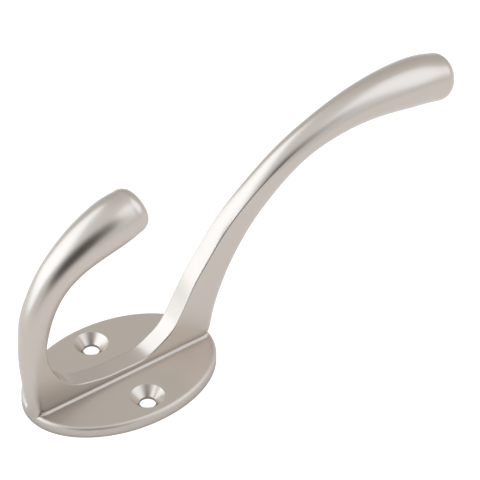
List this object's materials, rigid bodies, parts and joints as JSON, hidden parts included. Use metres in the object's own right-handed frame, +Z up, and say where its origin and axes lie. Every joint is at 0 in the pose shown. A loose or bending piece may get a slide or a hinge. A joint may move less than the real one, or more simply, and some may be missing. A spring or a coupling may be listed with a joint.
{
  "type": "double robe hook",
  "caption": "Cast wall hook with an oval screw plate, a tall upper arm for hats or coats and a short upturned lower arm for robes, each ending in a rounded knob.",
  "frame": {"origin": "centre of the back of the wall plate, on the wall plane and on its upright centre line", "axes": "+Z up, along the plate's long axis and towards the end of the upper arm; -Y out of the wall, so the back face looks along +Y; X across, along the line of the screw holes"},
  "size_m": [0.037, 0.0572, 0.1293],
  "materials": {
    "satin_nickel": "satin nickel plating, fine and even, with no brushing direction"
  },
  "bodies": {
    "root": {"hook_casting": "satin_nickel"}
  },
  "joints": []
}
